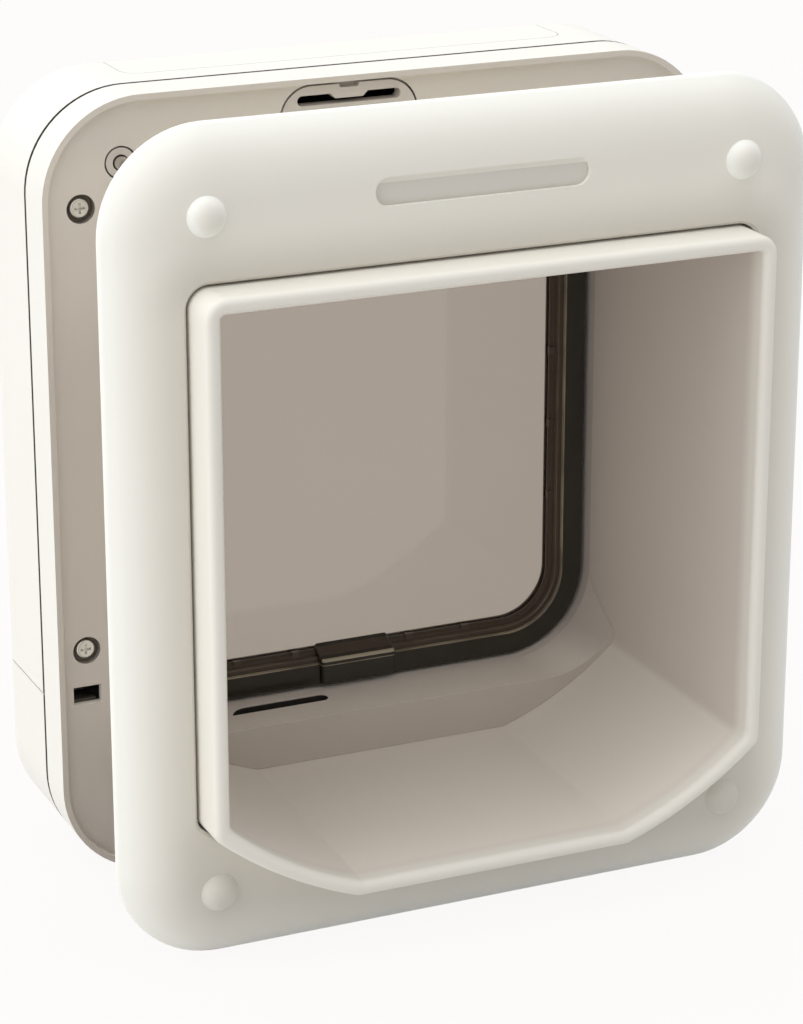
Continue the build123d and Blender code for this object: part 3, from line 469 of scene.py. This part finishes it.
def sill_top(finish):
    """1 where a face looks up, falling to 0 as it turns upright."""
    return finish.ramp(finish.facing(to_sky), upright_tilt, level_tilt)


def throat_sides(finish):
    """1 on the faces that look across the passage, by the square of that part of the normal."""
    across = finish.facing(to_right)
    return finish.ramp(across * across, side_start, side_full)


def sill_front(finish):
    """1 on the faces that look straight out of the tunnel."""
    return finish.facing(to_street) > front_square


def in_slots(finish):
    """1 just over either lever, as wide as its slot, below the sill's top face."""
    found = 0.0
    for low, high in lever_boxes:
        depth, height = finish.along(to_room), finish.along(to_sky)
        across = finish.between(depth, low.y - slot_side_gap, high.y + slot_side_gap)
        found = found + across * finish.between(height, low.z, high.z + slot_depth)
    return found


# Painted light on the sill's top; painted shade on the passage sides, the sill's front and the
# slots.
sill_light_and_shade = [
    (throat_sides, linear(208, 199, 192)),
    (sill_top, linear(243, 235, 226)),
    (sill_front, linear(200, 191, 182)),
    (in_slots, linear(46, 42, 38)),
]
# The moulding's own two tones are painted greyer than the white, as painted shade in the tunnel.
sill_shade_pair = linear(225, 216, 208), linear(219, 210, 201)
surround_painted_shade = white_moulding("surround_painted_shade", *sill_shade_pair, 0.44, 1.4e-5, sill_light_and_shade)
print("slots at y", [round((low.y + high.y) / 2, 4) for low, high in lever_boxes])

# %% [markdown]
# ## Smoked pane
# The flap's pane is a thin brown-grey sheet. A part-transparent colour would show what is
# behind it but give no gloss of its own. Transmission at full weight lets light through and
# colours it on the way, as the plastic does, and a slight noise keeps the sheet from looking
# like new glass.

# %% Smoked pane
pane_glass = {"IOR": 1.45, "Specular IOR Level": 0.3, "Transmission Weight": 1.0}
pane_light, pane_shade = linear(166, 156, 145), linear(162, 152, 141)
pane_cloud_scale, pane_haze_scale = 14.0, 40.0
pane_polish, pane_haze = 0.02, 0.02
pane_finish = Finish("smoked_pane", pane_glass)
pane_finish.feed(
    Base_Color=pane_finish.tint(pane_finish.noise(pane_cloud_scale), pane_light, pane_shade),
    Roughness=pane_polish + pane_haze * pane_finish.noise(pane_haze_scale),
)
print("pane lets light through")

# %% [markdown]
# ## Places on the flap's rim
# The rim is the same plastic, but much thicker, so that it looks nearly black. A thin pale line
# along its outer step and over the latch is a painted highlight. Inside that step the rim is
# painted browner, as painted light through the thinner plastic, and palest behind the pane, as
# painted light from the room. The lines could be thin strips of mesh, but as masks they can't
# come loose: each is a distance in from the outline.

# %% Places on the flap's rim
flap_low, flap_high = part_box("flap_frame")
hinge_z = sum(corner.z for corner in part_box("flap_spindle")) / 2
pane_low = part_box("flap_pane")[0]
latch_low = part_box("flap_latch")[0]
flap_corner = 0.0245
outer_step, inner_step, by_pane, rim_end = 0.00645, 0.00795, 0.0086, 0.0105
line_width = 0.00022
brow_height, brow_below, brow_above, brow_depth = 0.0072, 6e-4, 3e-4, 9e-4
latch_brow = latch_low.z + brow_height


def from_outline(finish):
    """How far in from the flap's outline a point lies, with the lower half of that outline
    turned over at the hinge to stand for the upper half."""
    over = Vector((flap_high.x, flap_high.y, 2 * hinge_z - flap_low.z))
    return inset_from(finish, flap_low, over, flap_corner)


def step_line(finish, inward, step):
    """1 on a line that ends at a step."""
    return finish.between(inward, step - line_width, step)


def latch_line(finish):
    """1 on the edge between the latch's face and its slope."""
    height = finish.along(to_sky)
    brow = finish.between(height, latch_brow - brow_below, latch_brow + brow_above)
    return brow * (finish.along(to_room) < latch_low.y + brow_depth)


print("latch brow at z", round(latch_brow, 4))

# %% [markdown]
# ## Smoked rim
# The rim's colour is laid up from the darkest to the palest: the thick plastic, the painted light
# in the thinner part inside the step and behind the pane, and last the painted highlight lines.
# The lines are broken up by a noise, because an even line would look drawn. A clear coat of
# uneven weight gives the soft gloss of polished plastic.

# %% Smoked rim
outer_shine, inner_shine, brow_shine, least_shine = 0.9, 0.25, 0.8, 0.5
break_start, break_end = 0.35, 0.65
rim_light, rim_shade = linear(46, 43, 37), linear(55, 50, 42)
# Painted light through the thinner rim, and from the room behind the pane.
painted_thin_light, painted_pane_light = linear(76, 65, 54), linear(140, 120, 101)
# Painted highlight colour for the rim's lines.
painted_line_highlight = linear(188, 176, 152)
rim_finish = Finish(
    "smoked_rim", {"IOR": 1.5, "Specular IOR Level": 0.28, "Coat Roughness": 0.05})
rim_cloud = rim_finish.noise(26.0, 3.0)
rim_grain = rim_finish.noise(700.0, 2.0)
rim_breaks = rim_finish.ramp(rim_finish.noise(45.0, 2.0), break_start, break_end)
rim_inward, rim_depth = from_outline(rim_finish), rim_finish.along(to_room)
rim_thin = rim_finish.between(rim_inward, outer_step, rim_end) * (rim_depth > flap_low.y)
rim_behind = rim_finish.between(rim_inward, by_pane, rim_end) * (rim_depth > pane_low.y)
outer_line = outer_shine * step_line(rim_finish, rim_inward, outer_step)
inner_line = inner_shine * step_line(rim_finish, rim_inward, inner_step)
broken_line = (outer_line + inner_line) * (least_shine + (1 - least_shine) * rim_breaks)
# Painted highlights along the rim's steps and over the latch.
rim_highlight = broken_line.larger(brow_shine * latch_line(rim_finish))
rim_colour = rim_finish.tint(rim_cloud, rim_light, rim_shade)
# Painted light through the thinner rim, and palest behind the pane.
rim_colour = rim_finish.tint(rim_thin, rim_colour, painted_thin_light)
rim_colour = rim_finish.tint(rim_behind, rim_colour, painted_pane_light)
rim_finish.feed(
    Base_Color=rim_finish.tint(rim_highlight, rim_colour, painted_line_highlight),
    Roughness=0.16 + 0.08 * rim_grain,
    Coat_Weight=0.08 + 0.14 * rim_cloud,
    Normal=rim_finish.bump(rim_grain, 1.5e-6),
)
print("rim lines at", outer_step, "and", inner_step)

# %% [markdown]
# ## Metals
# The screws, shafts, motors and contacts are bare metal. Its tone is slightly cloudy, and fine
# scratches run one way. A noise can be drawn out into scratches: where it is squeezed along an
# axis before it is read, it changes slowly along that axis and quickly across it.

# %% Metals
scratch_scale, scratch_gloss, scratch_depth = 700.0, 0.18, 8.0e-6
tarnish_scale = 160.0


def metal(name, bright, dull, roughness, stretch):
    """Bare metal whose scratches are drawn out along the direction with the smallest stretch."""
    finish = Finish(name, {"Metallic": 1.0})
    scratch = finish.noise(scratch_scale, 3.0, stretch)
    finish.feed(
        Base_Color=finish.tint(finish.noise(tarnish_scale, 2.0), bright, dull),
        Roughness=roughness + scratch_gloss * scratch,
        Normal=finish.bump(scratch, scratch_depth),
    )
    return finish.owner


zinc = metal("zinc_steel", linear(226, 224, 219), linear(190, 187, 180), 0.10, (1, 0.3, 1))
ground_steel = metal(
    "ground_steel", linear(200, 199, 196), linear(176, 174, 170), 0.22, (0.05, 1, 1))
motor_can = metal("motor_can", linear(168, 168, 168), linear(142, 142, 144), 0.38, (1, 0.1, 1))
nickel = metal("sprung_nickel", linear(208, 202, 186), linear(186, 180, 164), 0.24, (1, 1, 0.2))
magnet_iron = metal("magnet_iron", linear(92, 92, 96), linear(72, 72, 76), 0.46, (1, 1, 1))
copper = metal("copper_winding", linear(196, 120, 70), linear(160, 92, 52), 0.30, (0.1, 1, 0.1))
print("metals ready")

# %% [markdown]
# ## Cells and small parts
# The parts inside get plain finishes, each of two tones and a grain. Each cell has a dark sleeve
# with a copper band towards its nose. The band could be a ring of mesh round each cell. A mask
# does for all four: how far along its own length a point lies, counted from the other end in
# the upper row, where the cells are turned.

# %% Cells and small parts
mottle_scale, speck_scale, speck_gloss, speck_depth = 70.0, 1600.0, 0.12, 1.5e-5
cells_low, cells_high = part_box("battery_cells")
cells_middle = (cells_low.z + cells_high.z) / 2
cell_pitch = (cells_high.x - cells_low.x) / 2
band_start, nub_start = 0.72, 0.975


def dull_moulding(name, light, shade, roughness, overlays=()):
    """Unpolished plastic or lacquer: two tones, overlays and a grain."""
    finish = Finish(name, {"IOR": 1.5})
    mottle = finish.noise(mottle_scale, 3.0)
    speck = finish.noise(speck_scale, 2.0)
    finish.feed(
        Base_Color=finish.lay_over(finish.tint(mottle, light, shade), overlays),
        Roughness=roughness + speck_gloss * speck,
        Normal=finish.bump(speck, speck_depth),
    )
    return finish.owner


def cell_length(finish):
    """0 at a cell's flat end and 1 at its nose."""
    turned = 1.0 - 2.0 * (finish.along(to_sky) > cells_middle)
    return (turned * finish.along(to_right) / cell_pitch).fraction()


def cell_band(finish):
    """1 from the start of the band to the nose."""
    return cell_length(finish) > band_start


def cell_nub(finish):
    """1 on the bare metal at the nose."""
    return cell_length(finish) > nub_start


cell_tones = [(cell_band, linear(190, 128, 78)), (cell_nub, linear(196, 194, 188))]
cell_can = dull_moulding("cell_can", linear(62, 62, 66), linear(48, 48, 52), 0.26, cell_tones)
black_plastic = dull_moulding("black_plastic", linear(40, 40, 41), linear(30, 30, 31), 0.42)
lock_black = dull_moulding("lock_black", linear(46, 43, 40), linear(36, 34, 32), 0.40)
board_green = dull_moulding("board_green", linear(42, 104, 66), linear(30, 84, 52), 0.34)
lens_red = dull_moulding("lens_red", linear(196, 60, 48), linear(172, 44, 36), 0.12)
print("cells are", round(cell_pitch, 4), "apart")

# %% [markdown]
# ## Each node's finish
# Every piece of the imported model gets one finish. The pieces could each be given theirs in a
# line of its own, but a list under each finish shows at a glance what is made of the same stuff.

# %% Each node's finish
finishes = {
    frame_white: ("exterior_frame",),
    tunnel_white: ("tunnel_liner",),
    surround_painted_shade: ("flap_surround",),
    cover_white: ("inner_cover", "lower_cover", "battery_cover", "screw_plugs"),
    plate_white: ("rear_housing",),
    tab_grey: ("catch_tab", "fixing_sleeves"),
    pane_finish.owner: ("flap_pane",),
    rim_finish.owner: ("flap_frame", "flap_latch"),
    grey_plastic: ("lock_selector", "learn_button"),
    lock_black: ("exit_lock", "entry_lock"),
    black_plastic: ("battery_tray", "selector_switch", "board_chips", "button_switch"),
    zinc: ("fixing_screws", "housing_screws"),
    ground_steel: ("flap_spindle", "exit_lock_shaft", "entry_lock_shaft"),
    motor_can: ("exit_lock_motor", "entry_lock_motor"),
    nickel: ("battery_contacts",),
    magnet_iron: ("flap_magnet", "sill_magnet"),
    copper: ("aerial_coil",),
    cell_can: ("battery_cells",),
    board_green: ("circuit_board",),
    lens_red: ("status_led", "status_lens"),
}
for material, names in finishes.items():
    for name in names:
        nodes[name].data.materials.clear()
        nodes[name].data.materials.append(material)
print("finished nodes", sum(len(names) for names in finishes.values()))

# %% [markdown]
# ## A skin over rings of points
# The new pieces are all closed tubes of some kind: a screw, a coiled wire, a small plate.
# Each is a row of rings, worked out as one array, and `skin` joins neighbouring rings by quads
# and closes both ends. Copies of the same shape are one more axis of the array.


# %% A skin over rings of points
def skin(name, rings, material, sharp=35.0):
    """Quads between each ring and the next, all the way round, and a fan from each end ring to
    its middle.

    The points are numbered by copy, ring and place in the ring. Each ring turns so that the first
    direction crossed with the run from ring to ring gives the second, which makes the faces look
    out. Edges that turn by more than the sharp angle, in degrees, are shaded as edges.
    """
    copies, count, around = rings.shape[:3]
    here = np.arange(count * around).reshape(count, around)
    beside = np.roll(here, -1, axis=1)
    quads = np.stack((here[:-1], here[1:], beside[1:], beside[:-1]), axis=-1).reshape(-1, 4)
    first = np.full(around, count * around)
    start_fan = np.stack((first, here[0], beside[0]), axis=-1)
    end_fan = np.stack((first + 1, beside[-1], here[-1]), axis=-1)
    fans = np.concatenate((start_fan, end_fan))
    middles = rings[:, (0, -1)].mean(axis=2)
    points = np.concatenate((rings.reshape(copies, -1, 3), middles), axis=1)
    step = np.arange(copies)[:, None, None] * points.shape[1]
    faces = (quads + step).reshape(-1, 4).tolist() + (fans + step).reshape(-1, 3).tolist()
    mesh = bpy.data.meshes.new(name)
    mesh.from_pydata(points.reshape(-1, 3), [], faces)
    mesh.shade_smooth()
    mesh.set_sharp_from_angle(angle=math.radians(sharp))
    mesh.materials.append(material)
    piece = into_scene(name, mesh)
    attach(piece, "housing")
    print(name, "has", len(faces), "faces")
    return piece


# %% [markdown]
# ## Screw shank
# Four long screws hold the frame to the unit through the door, and their threads show between
# the two. A thread could be a Screw modifier on a tooth profile, but its ends have to be closed
# by hand. Here the whole screw is one surface, its radius given at each angle and each distance
# along it: the thread is a ridge that moves on by one pitch in a turn, and fades out at both ends.

# %% Screw shank
screw_low, screw_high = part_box("fixing_screws")
screw_crest, screw_root = 0.0019, 0.0015
thread_pitch, thread_length, thread_fade = 0.0014, 0.048, 0.002
ridge_half, ridge_slope = 0.36, 0.26
screw_sides, rings_per_pitch, plain_rings = 36, 10, 6
screw_turn = np.linspace(0, 2 * np.pi, screw_sides, endpoint=False)


def threaded_shank(start, end):
    """Root radius, plus a ridge where the fraction of (distance / pitch + angle / turn) is near
    a half."""
    thread_end = start + thread_length
    thread_rings = int(thread_length / thread_pitch * rings_per_pitch)
    threaded = np.linspace(start, thread_end, thread_rings)
    plain = np.linspace(thread_end, end, plain_rings)
    distance = np.concatenate((threaded, plain[1:]))[:, None]
    phase = np.mod((distance - start) / thread_pitch + screw_turn / (2 * np.pi), 1.0)
    ridge = np.clip((ridge_half - np.abs(phase - 0.5)) / ridge_slope, 0, 1)
    in_fade = np.clip((distance - start) / thread_fade, 0, 1)
    out_fade = np.clip((distance - start - thread_length + thread_fade) / thread_fade, 0, 1)
    radius = screw_root + (screw_crest - screw_root) * np.maximum(ridge * in_fade, out_fade)
    return distance + 0 * screw_turn, radius


print("thread has", round(thread_length / thread_pitch, 1), "turns")

# %% [markdown]
# ## Screw head
# The head is a flat cylinder with a rounded edge and a cross sunk in its top. A cross could be
# cut by a Boolean, which leaves ragged faces on such a small piece. Here the head goes on from
# the shank as more rings of the same surface, and the rings on its top dip where the cross is.

# %% Screw head
screw_head_radius, screw_head_height, screw_head_round = 0.0036, 0.0024, 0.0008
head_chamfer, head_middle = 2e-4, 5e-5
round_rings, flat_rings = 7, 26
cross_length, cross_width, cross_depth, cross_slope = 0.0030, 0.0007, 0.0011, 0.00012


def sunk(size, reach):
    """1 inside a bar of that size, falling to 0 over a short slope at its edge."""
    return np.clip((size / 2 - reach) / cross_slope + 0.5, 0, 1)


def screw_head(start, end):
    """A flat underside, a side, a quarter round, then a flat top with a cross sunk in it.

    The cross is the larger of two bars, each as deep as its share across times its share along.
    """
    quarter = np.linspace(0, np.pi / 2, round_rings)
    inner = screw_head_radius - head_chamfer
    side = np.array((screw_crest, inner, screw_head_radius, screw_head_radius))
    side_y = np.array((start, start, start + head_chamfer, end - screw_head_round))
    rounded = screw_head_radius - screw_head_round * (1 - np.cos(quarter))
    rounded_y = end - screw_head_round * (1 - np.sin(quarter))
    flat = np.linspace(rounded[-1], head_middle, flat_rings)[1:]
    flat_y = np.full(len(flat), end)
    radius = np.concatenate((side, rounded, flat))[:, None] + 0 * screw_turn
    distance = np.concatenate((side_y, rounded_y, flat_y))[:, None] + 0 * screw_turn
    over, up = np.abs(radius * np.cos(screw_turn)), np.abs(radius * np.sin(screw_turn))
    level_bar = sunk(cross_length, over) * sunk(cross_width, up)
    upright_bar = sunk(cross_width, over) * sunk(cross_length, up)
    return distance - cross_depth * np.maximum(level_bar, upright_bar), radius


print("head is", 2 * screw_head_radius, "across")

# %% [markdown]
# ## Threaded screws
# The shank's rings and the head's rings make one screw. It is set down at four places, which
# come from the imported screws' own box, and takes the place of those plain screws.

# %% Threaded screws
head_start = screw_high.y - screw_head_height
shank_y, shank_radius = threaded_shank(screw_low.y, head_start)
head_y, head_radius = screw_head(head_start, screw_high.y)
screw_y = np.concatenate((shank_y, head_y))
screw_radius = np.concatenate((shank_radius, head_radius))
screw_across, screw_up = screw_radius * np.cos(screw_turn), screw_radius * np.sin(screw_turn)
one_screw = np.stack((screw_across, screw_y, screw_up), axis=-1)
screw_x, screw_z = screw_high.x - screw_head_radius, screw_high.z - screw_head_radius
screw_spots = np.array([(sx * screw_x, 0, sz * screw_z) for sx in (-1, 1) for sz in (-1, 1)])
screws = skin("threaded_screws", one_screw + screw_spots[:, None, None, :], zinc)
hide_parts("fixing_screws")

# %% [markdown]
# ## Battery contacts
# Each cell presses on a conical spring of nickel wire that stands on a small plate. The wire is a
# ring of points carried along a narrowing helix, lying flat in its first and last half turn. The
# plates are a superellipse, a square with soft corners. On the left side the shape is turned by
# half a turn about an upright axis, because mirroring it would turn its faces inside out.

# %% Battery contacts
contact_low, contact_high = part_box("battery_contacts")
contact_plate, contact_half, contact_edge = 0.0006, 0.0055, 0.00008
spring_wire, spring_base, spring_tip, spring_turns = 0.0003, 0.0044, 0.0022, 3.0
spring_clearance, spring_sharp = 1e-4, 60.0
spring_rings, wire_sides, plate_sides, plate_power = 160, 12, 64, 6
contact_y = (contact_low.y + contact_high.y) / 2
contact_rows = contact_low.z + contact_half, contact_high.z - contact_half
spring_foot = contact_high.x - contact_plate
cell_end = cells_high.x + spring_clearance


def four_contacts(rings):
    """The rings at both rows on the right, and both turned by half a turn for the left."""
    right = np.stack([rings + np.array((0, contact_y, z)) for z in contact_rows])
    left = right * np.array((-1, -1, 1)) + np.array((0, 2 * contact_y, 0))
    return np.concatenate((right, left))


def unit_length(arrows):
    """Each arrow divided by its own length."""
    return arrows / np.linalg.norm(arrows, axis=1, keepdims=True)


def coiled_wire():
    """A point on the helix, plus the wire's radius times (cos across + sin up), square to it.

    The helix's radius narrows evenly from the plate to the tip; its rise stops in the end half
    turns.
    """
    share = np.linspace(0, 1, spring_rings)
    turn = 2 * np.pi * spring_turns * share
    flat_part = 0.5 / spring_turns
    rise = np.clip((share - flat_part) / (1 - 2 * flat_part), 0, 1)
    radius = spring_base + (spring_tip - spring_base) * share - spring_wire
    foot, tip = spring_foot - spring_wire, cell_end + spring_wire
    helix = foot + (tip - foot) * rise, radius * np.cos(turn), radius * np.sin(turn)
    path = np.stack(helix, axis=-1)
    run = unit_length(np.gradient(path, axis=0))
    across = unit_length(np.cross(run, to_right))
    up = np.cross(across, run)
    angle = np.linspace(0, 2 * np.pi, wire_sides, endpoint=False)[:, None]
    ring = np.cos(angle) * across[:, None] + np.sin(angle) * up[:, None]
    return path[:, None] + spring_wire * ring


def contact_outline():
    """Rings of a superellipse, drawn in slightly at the plate's two edges.

    At each angle it reaches the half side over the root of (cos power + sin power).
    """
    angle = np.linspace(0, 2 * np.pi, plate_sides, endpoint=False)
    powers = np.abs(np.cos(angle)) ** plate_power + np.abs(np.sin(angle)) ** plate_power
    reach = contact_half / powers ** (1 / plate_power)
    rims = np.array((0, contact_edge, contact_plate - contact_edge, contact_plate))[:, None]
    drawn = reach - np.array((contact_edge, 0, 0, contact_edge))[:, None]
    depth = rims + spring_foot + 0 * reach
    return np.stack((depth, drawn * np.sin(angle), drawn * np.cos(angle)), axis=-1)


springs = skin(
    "contact_springs", four_contacts(coiled_wire()), nickel, spring_sharp)
skin("contact_plates", four_contacts(contact_outline()), nickel)
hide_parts("battery_contacts")

# %% [markdown]
# ## Floor
# The object stands on a plain pale floor. A white floor could be had with more light, but that
# would wash out the object. Instead a ray from the camera, from gloss or through the pane sees
# the floor mostly as white paper, so that it runs into the white room without a line, and the
# rest of its colour takes the shadow.

# %% Floor
floor_drop, floor_half = 0.0005, 6.0
floor_base, floor_roughness = (0.72, 0.71, 0.70, 1), 0.9
paper_white, floor_glow = (1.0, 0.99, 0.985, 1), 0.93
floor_z = cad_box[0].z - floor_drop
floor_ends = ((-1, -1), (1, -1), (1, 1), (-1, 1))
floor_corners = [(floor_half * x, floor_half * y, floor_z) for x, y in floor_ends]
floor_mesh = bpy.data.meshes.new("floor")
floor_mesh.from_pydata(floor_corners, [], [(0, 1, 2, 3)])
floor = into_scene("floor", floor_mesh)


def ray_sees_paper(finish):
    """1 for a ray from the camera, from gloss or through the pane."""
    gloss_or_pane = finish.ray_is("Glossy").larger(finish.ray_is("Transmission"))
    return finish.ray_is("Camera").larger(gloss_or_pane)


floor_finish = Finish("pale_floor", {"Base Color": floor_base, "Roughness": floor_roughness})
glow = floor_finish.node("ShaderNodeEmission", {}, {"Color": paper_white, "Strength": 1.0})
floor_mix = floor_finish.node("ShaderNodeMixShader", {}, {
    0: ray_sees_paper(floor_finish) * floor_glow,
    1: Wire(floor_finish, floor_finish.shader.outputs[0]),
    2: glow,
})
floor_finish.plug(floor_finish.tree.nodes["Material Output"].inputs["Surface"], floor_mix)
floor_mesh.materials.append(floor_finish.owner)
print("floor at", round(floor_z, 4))

# %% [markdown]
# ## Room light
# The object is lit as in a white tent: most light comes from above and from the left, and a
# little from behind and in front. Lamps all round could do this, but each would leave a shadow
# and a bright spot. Here the light from a side is its strength times the square of that side's
# part of the ray's direction, so one side blends into the next. Rays that see the room itself,
# straight, in gloss or through the pane, meet plain white paper.

# %% Room light
room_sides = {
    "left": ((-1, 0, 0), 1.04),
    "above": (to_sky, 1.66),
    "behind": (to_room, 0.20),
    "front": (to_street, 0.17),
}
tent_white = (1.0, 0.998, 0.985, 1)
room = bpy.data.worlds.new("white_room")
bpy.context.scene.world = room
tent = Finish("white_room", {}, owner=room)
tent_cloth = tent.tree.nodes["Background"]
ray = tent.place("Generated")
tent_glow = 0.0
for direction, strength in room_sides.values():
    towards = tent.part_of(ray, direction).larger(0.0)
    tent_glow = tent_glow + strength * towards * towards
seen = ray_sees_paper(tent)
tent.plug(tent_cloth.inputs["Strength"], tent_glow + seen * (1.0 - tent_glow))
tent.plug(tent_cloth.inputs["Color"], tent.tint(seen, tent_white, paper_white))
print("light from", ", ".join(room_sides))

# %% [markdown]
# ## Lamps
# The frame's rounded edges are a little brighter than its face. A lamp in front would brighten
# both. Two large soft lamps, over the object and to its left, stand just behind the frame and
# look at the middle of the unit, so that they graze the face and light the edges.

# %% Lamps
lamps = {
    "top_lamp": {"spot": (0.00, 0.05, 1.00), "size": 0.6, "energy": 1.1},
    "left_lamp": {"spot": (-1.00, 0.05, 0.10), "size": 0.6, "energy": 1.6},
}
for name, given in lamps.items():
    lamp = into_scene(name, bpy.data.lights.new(name, "AREA"))
    lamp.data.size = given["size"]
    lamp.data.energy = given["energy"]
    lamp.location = given["spot"]
    lamp.rotation_euler = (-Vector(given["spot"])).to_track_quat("-Z", "Y").to_euler()
print("lamps", len(lamps))
